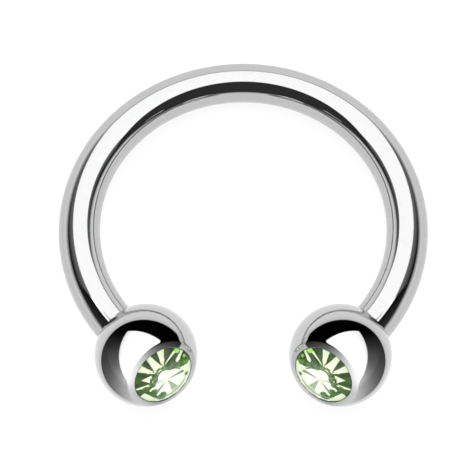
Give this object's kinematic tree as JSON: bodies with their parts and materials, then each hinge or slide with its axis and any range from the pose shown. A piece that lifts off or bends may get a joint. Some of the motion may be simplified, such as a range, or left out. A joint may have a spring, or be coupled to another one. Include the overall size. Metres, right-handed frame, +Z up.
{
  "type": "horseshoe barbell",
  "caption": "Polished steel ring open between two screw-on balls, each ball set with a green brilliant-cut stone; lies flat on its side.",
  "frame": {"origin": "centre of the bounding box on the resting plane, which both balls and the ring's crown touch", "axes": "+Z up from the resting plane, +Y from the balls towards the ring's crown, +X to the right with the balls nearest the viewer"},
  "size_m": [0.0108, 0.0108, 0.0028],
  "materials": {
    "bar_steel": "surgical steel polished to a mirror",
    "ball_steel": "surgical steel polished to a mirror",
    "green_stone": "clear yellow-green crystal, cut and polished"
  },
  "bodies": {
    "bar": {"curved_bar": "bar_steel"},
    "left_end": {"left_ball": "ball_steel", "left_stone": "green_stone"},
    "right_end": {"right_ball": "ball_steel", "right_stone": "green_stone"}
  },
  "joints": [
    {"name": "left_end_unscrew", "type": "hinge", "parent": "bar", "child": "left_end", "pos_m": [-0.0027, -0.004, 0.00143], "axis": [0.7171, -0.6939, 0.0648], "range_deg": [0, 630]},
    {"name": "right_end_unscrew", "type": "hinge", "parent": "bar", "child": "right_end", "pos_m": [0.0027, -0.004, 0.00143], "axis": [-0.7171, -0.6939, 0.0648], "range_deg": [0, 630]}
  ]
}
